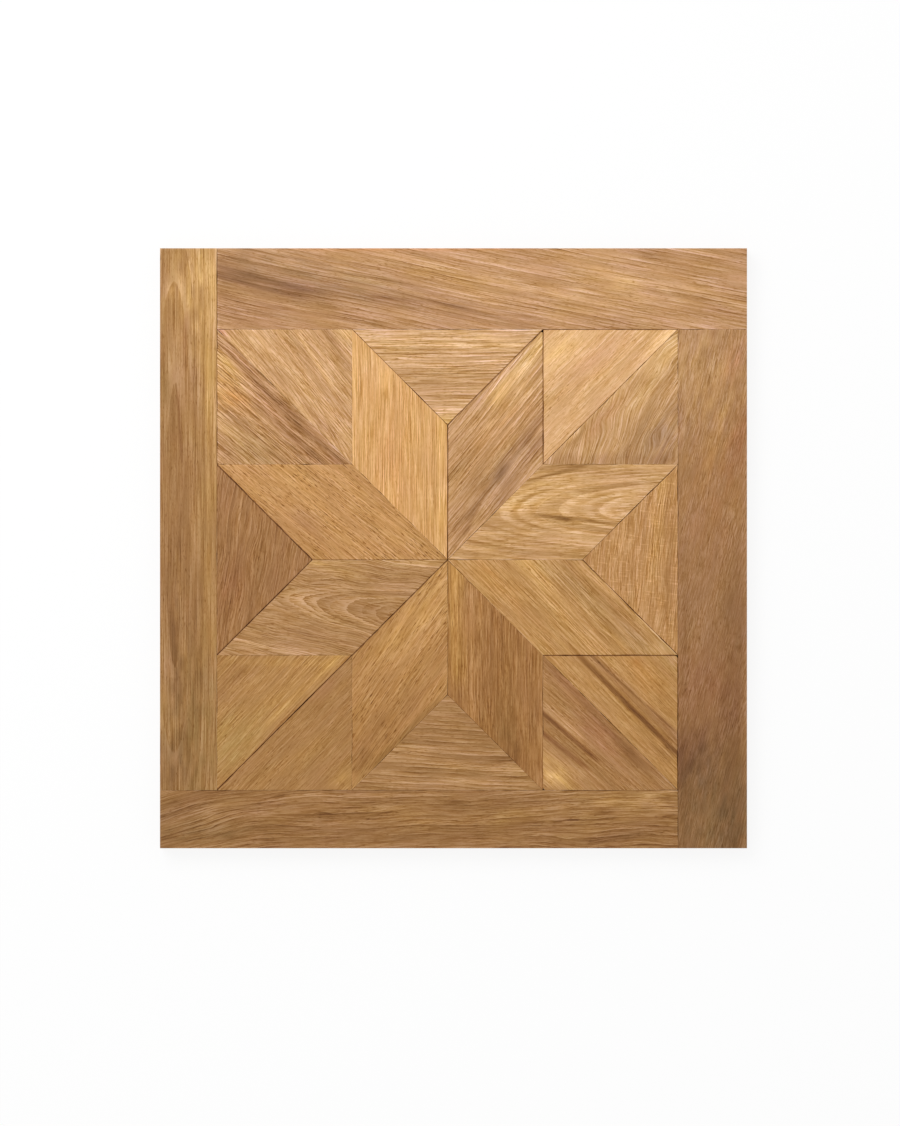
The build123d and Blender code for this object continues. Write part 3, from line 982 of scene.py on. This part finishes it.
def linear(level):
    """A screen level from 0 to 255 as light."""
    level /= 255
    return level / 12.92 if level <= 0.04045 else ((level + 0.055) / 1.055) ** 2.4


# Cells of chance in the oak: lengths along the fibres, across them and down
WAVER_CELL, MOTTLE_CELL, GRIT_CELL = (18, 6, 6), (45, 14, 14), (4, 1, 1)
ZONE_CELL, RAY_CELL = (45, 18, 18), (1.8, 12, 12)
TINT_CELL, BLUSH_CELL = (60, 20, 20), (35, 9, 9)
WEAR_CELL, STAIN_CELL = (20, 20, 20), (25, 25, 25)
KINK_RINGS = 5          # length of a kink in a ring, in rings

# Ranges of chance, from about -0.3 to 0.3, over which a thing comes up
LINE_SHOWS, FIBRE_SHOWS, PORE_SHOWS = (-0.2, 0.25), (-0.15, 0.15), (0.1, 0.2)
ZONE_SHOWS, RAY_SHOWS = (-0.15, 0.15), (0.05, 0.25)
WEAR_SHOWS, STAIN_SHOWS = (-0.2, 0.2), (-0.3, 0.15)

# Grain
WAVER = 2.7             # how far ragged fibres waver
RING_STEP = 1.7         # from a ring's chance to the next ring's
RING_SHADE_RUN, RING_SHADE_SHIFT = 120, 40.0    # whole rings that are lighter or darker
FIBRE_DETAIL, FIBRE_ROUGHNESS = 3.0, 0.6
ZONE_LEAST, ZONE_SWING = 0.55, 1.1      # the grain is fainter in some zones than in others
PALEST_GRAIN = 0.09
SAWN_DEPTH = (0.2, 1.0)     # depths between which the face gives way to wood left from the saw
SAWN_FADE = 0.7             # how much fainter the rings show there

# How far the worn edge, the dirt and painted shade down a joint, and the stain beside it reach
WORN_WIDTH, DIRT_AND_SHADE_DEPTH, STAIN_WIDTH = 1.2, 0.8, 1.0

# What each cause does to shade, warmth and redness; the darkening down a joint is dirt and painted shade
MOTTLE_SHADE, GRIT_SHADE, WORN_SHADE, DIRT_AND_SHADE_DARKENING, STAIN_SHADE = 0.1, 0.1, 0.08, 0.45, 0.36
TINT_WARMTH, GRAIN_WARMTH = 0.25, 0.6
BLUSH_REDNESS, DIRT_AND_SHADE_REDNESS, STAIN_REDNESS, GRAIN_REDNESS = 0.12, 0.5, 0.15, 0.35

# Surface: plain roughness and what changes it, heights in millimetres, and gloss
ROUGHNESS, PORE_ROUGHNESS, FIBRE_POLISH, DIRT_AND_SHADE_ROUGHNESS = 0.5, 0.2, 0.05, 0.5
LINE_HEIGHT, FIBRE_HEIGHT, PORE_DEPTH = 0.02, 0.01, 0.03
BUMP_STRENGTH = 0.6
GLOSS = 0.3


def oak_finish(node, figure):
    """Oiled oak. Colour is plain oak times e to the power of shade, warmth and redness, each pulling
    red, green and blue by its own amount, so dark wood is redder and pale wood greyer as in oak."""
    material = bpy.data.materials.new(node + "_finish")
    tree = new_tree(material)

    def read(name, output):
        return add_node(tree, "ShaderNodeAttribute", {"attribute_name": name}, {}, output)

    def split(vector):
        return [add_node(tree, "ShaderNodeSeparateXYZ", {}, {0: vector}, axis) for axis in "XYZ"]

    def ring_chance(ring, run, shift):
        """Noise that goes its own way in every ring, and changes over that run along it."""
        sockets = {"X": along / run, "Y": ring * RING_STEP + shift}
        place = add_node(tree, "ShaderNodeCombineXYZ", {}, sockets)
        sockets = {"Vector": place, "Scale": 1.0, "Detail": 1.0}
        return add_node(tree, "ShaderNodeTexNoise", {"noise_dimensions": "2D"}, sockets) - 0.5

    def chance(size, detail=2.0, rough=0.5):
        """Noise in cells of that size along the fibres, across them and down."""
        spread = add_node(tree, "ShaderNodeVectorMath", {"operation": "DIVIDE"}, {0: fibre, 1: size})
        sockets = {"Vector": spread, "Scale": 1.0, "Detail": detail, "Roughness": rough}
        return add_node(tree, "ShaderNodeTexNoise", {"noise_dimensions": "3D"}, sockets) - 0.5

    def slim(length, width):
        return length, width, width

    fibre = read("fibre", "Vector")
    aside = chance(WAVER_CELL, 1.0) * WAVER * figure.ragged
    waver = add_node(tree, "ShaderNodeCombineXYZ", {}, {"Y": aside})
    fibre = add_node(tree, "ShaderNodeVectorMath", {"operation": "ADD"}, {0: fibre, 1: waver})
    shade, warmth, redness = split(read("tone", "Vector"))
    along, _, depth = split(fibre)
    edge, joint, seam = (read(name, "Fac") for name in ("edge", "joint", "seam"))

    figured = 1 - depth.between(*SAWN_DEPTH) * SAWN_FADE
    kinks = chance(slim(KINK_RINGS * figure.ring, figure.ring))
    age = read("age", "Fac") + kinks * figure.ragged
    ring = age.maths("FLOOR", age)
    part = age - ring
    pale = ((part - 1) * figure.crisp).exp() * PALE_EDGE * (1 - part).between(0.0, figure.soft)
    shape = pale - (part * -figure.crisp).exp() * part.between(0.0, figure.soft)
    lines = shape * ring_chance(ring, figure.run, 0.0).between(*LINE_SHOWS) * figured
    fibres = chance(slim(*figure.strand), FIBRE_DETAIL, FIBRE_ROUGHNESS).between(*FIBRE_SHOWS) * 2 - 1
    pores = chance(slim(*figure.pore), 1.0).between(*PORE_SHOWS)
    zone = chance(ZONE_CELL).between(*ZONE_SHOWS) * ZONE_SWING + ZONE_LEAST
    grain = (lines * figure.lines + fibres * figure.fibres - pores * figure.pores) * zone
    grain = grain.maths("MINIMUM", grain, PALEST_GRAIN)
    ring_shade = ring_chance(ring, RING_SHADE_RUN, RING_SHADE_SHIFT) * figured * figure.lines
    worn = (1 - edge.between(0.0, WORN_WIDTH)) * chance(WEAR_CELL).between(*WEAR_SHOWS)
    # Dirt and painted shade: the sides of each joint are painted darker and redder further down it
    joint_dirt_and_shade = joint.between(0.0, DIRT_AND_SHADE_DEPTH)
    stain = (1 - seam.between(0.0, STAIN_WIDTH)) * chance(STAIN_CELL).between(*STAIN_SHOWS)

    shade = shade + grain + ring_shade
    shade = shade + chance(MOTTLE_CELL) * MOTTLE_SHADE + chance(GRIT_CELL) * GRIT_SHADE
    if figure.flecks:
        shade = shade + chance(RAY_CELL, 1.0).between(*RAY_SHOWS) * figure.flecks
    shade = shade + worn * WORN_SHADE - joint_dirt_and_shade * DIRT_AND_SHADE_DARKENING - stain * STAIN_SHADE
    warmth = warmth + chance(TINT_CELL) * TINT_WARMTH - grain * GRAIN_WARMTH
    redness = redness + chance(BLUSH_CELL) * BLUSH_REDNESS + joint_dirt_and_shade * DIRT_AND_SHADE_REDNESS
    redness = redness + stain * STAIN_REDNESS - grain * GRAIN_REDNESS

    channels = {}
    for i, name in enumerate(("Red", "Green", "Blue")):
        power = shade * SHADE_PULL[i] + redness * REDNESS_PULL[i] + log(linear(OAK[i]))
        if WARMTH_PULL[i]:
            power = power + warmth * WARMTH_PULL[i]
        channels[name] = power.exp()
    colour = add_node(tree, "ShaderNodeCombineColor", {"mode": "RGB"}, channels)
    roughness = ROUGHNESS + pores * PORE_ROUGHNESS - fibres * FIBRE_POLISH + joint_dirt_and_shade * DIRT_AND_SHADE_ROUGHNESS
    height = lines * LINE_HEIGHT + fibres * FIBRE_HEIGHT - pores * PORE_DEPTH
    bump = add_node(tree, "ShaderNodeBump", {}, {
        "Height": height, "Strength": BUMP_STRENGTH, "Distance": MM})
    shader = add_node(tree, "ShaderNodeBsdfPrincipled", {}, {
        "Base Color": colour, "Roughness": roughness, "Normal": bump, "Specular IOR Level": GLOSS})
    add_node(tree, "ShaderNodeOutputMaterial", {}, {"Surface": shader})
    return material


# Floor, light and camera
WHITE = (1.0, 1.0, 1.0, 1.0)
FLOOR_SIZE = 6.0        # metres, as all sizes of the setting are
FLOOR_DROP = 0.0002
FLOOR_MARGIN = 0.004    # how far the panel stands out over the covered part
MIDDLE_PART = 4         # of the floor's nine, counted from 0
SEEN_WHITE = 0.88       # how far the floor is plain white to the camera, which still sees its shadow
# Painted shade: the dark colour of the floor under the panel
UNDER_PANEL_SHADE = (0.05, 0.035, 0.02, 1.0)
WORLD_LIGHT = 0.6
LAMP_PLACE, LAMP_SIZE, LAMP_POWER = (-1.1, 1.3, 2.0), 1.6, 36.0
PICTURE_HEIGHT = 1.126              # what the picture's height covers at the panel's face
PICTURE_MIDDLE = (-0.0035, -0.01475)
CAMERA_HEIGHT = 4.0                 # above the face


def seen_directly(tree):
    """1 where the camera looks, straight or in a reflection, and 0 for light on its way."""
    rays = [add_node(tree, "ShaderNodeLightPath", {}, {}, f"Is {kind} Ray")
            for kind in ("Camera", "Glossy", "Transmission")]
    return rays[0].maths("MAXIMUM", rays[0], rays[1].maths("MAXIMUM", rays[1], rays[2]))


def painted_shade_finish():
    """The floor under the panel, painted dark as the shade where no light falls."""
    material = bpy.data.materials.new("floor_painted_shade")
    tree = new_tree(material)
    shade_sheet = add_node(tree, "ShaderNodeBsdfDiffuse", {}, {"Color": UNDER_PANEL_SHADE})
    add_node(tree, "ShaderNodeOutputMaterial", {}, {"Surface": shade_sheet})
    return material


def make_floor():
    """A white floor in nine parts, of which the middle one lies under the panel and is painted dark as
    shade.
    """
    half = FLOOR_SIZE / 2
    x_cuts = np.array([-half, cad_box[0].x + FLOOR_MARGIN, cad_box[1].x - FLOOR_MARGIN, half])
    y_cuts = np.array([-half, cad_box[0].y + FLOOR_MARGIN, cad_box[1].y - FLOOR_MARGIN, half])
    x_grid, y_grid = np.meshgrid(x_cuts, y_cuts)
    points = np.column_stack([x_grid.ravel(), y_grid.ravel(), np.full(x_grid.size, -FLOOR_DROP)])
    mesh = bpy.data.meshes.new("floor")
    mesh.from_pydata(points.tolist(), [], quads(np.arange(x_grid.size).reshape(x_grid.shape)).tolist())
    material = bpy.data.materials.new("floor_white")
    tree = new_tree(material)
    matt = add_node(tree, "ShaderNodeBsdfDiffuse", {}, {"Color": WHITE})
    glow = add_node(tree, "ShaderNodeEmission", {}, {"Color": WHITE, "Strength": 1.0})
    seen = seen_directly(tree) * SEEN_WHITE
    mixed = add_node(tree, "ShaderNodeMixShader", {}, {0: seen, 1: matt, 2: glow})
    add_node(tree, "ShaderNodeOutputMaterial", {}, {"Surface": mixed})
    mesh.materials.append(material)
    mesh.materials.append(painted_shade_finish())
    # The middle part gets the painted shade under the panel
    mesh.polygons[MIDDLE_PART].material_index = 1
    floor = bpy.data.objects.new("floor", mesh)
    bpy.context.scene.collection.objects.link(floor)


def make_light():
    world = bpy.data.worlds.new("studio")
    bpy.context.scene.world = world
    tree = new_tree(world)
    strength = WORLD_LIGHT + seen_directly(tree) * (1 - WORLD_LIGHT)
    sky = add_node(tree, "ShaderNodeBackground", {}, {"Color": WHITE, "Strength": strength})
    add_node(tree, "ShaderNodeOutputWorld", {}, {"Surface": sky})
    lamp = bpy.data.lights.new("softbox", "AREA")
    lamp.size, lamp.energy = LAMP_SIZE, LAMP_POWER
    softbox = bpy.data.objects.new("softbox", lamp)
    softbox.location = LAMP_PLACE
    softbox.rotation_mode = "QUATERNION"
    softbox.rotation_quaternion = softbox.location.to_track_quat("Z", "Y")
    bpy.context.scene.collection.objects.link(softbox)


def make_camera():
    lens = bpy.data.cameras.new("camera")
    lens.lens = lens.sensor_width * CAMERA_HEIGHT / PICTURE_HEIGHT
    camera = bpy.data.objects.new("camera", lens)
    camera.location = (*PICTURE_MIDDLE, THICKNESS * MM + CAMERA_HEIGHT)
    bpy.context.scene.collection.objects.link(camera)
    bpy.context.scene.camera = camera


outlines = [read_outline(node_points(node), figure.angle) for node, figure in FIGURES.items()]
all_widths = joint_widths([corners for corners, _ in outlines])
for i, (node, figure) in enumerate(FIGURES.items()):
    make_block(node, figure, i * SEEDS, outlines[i], all_widths[i])
make_floor()
make_light()
make_camera()
bpy.context.scene.view_settings.view_transform = "Standard"
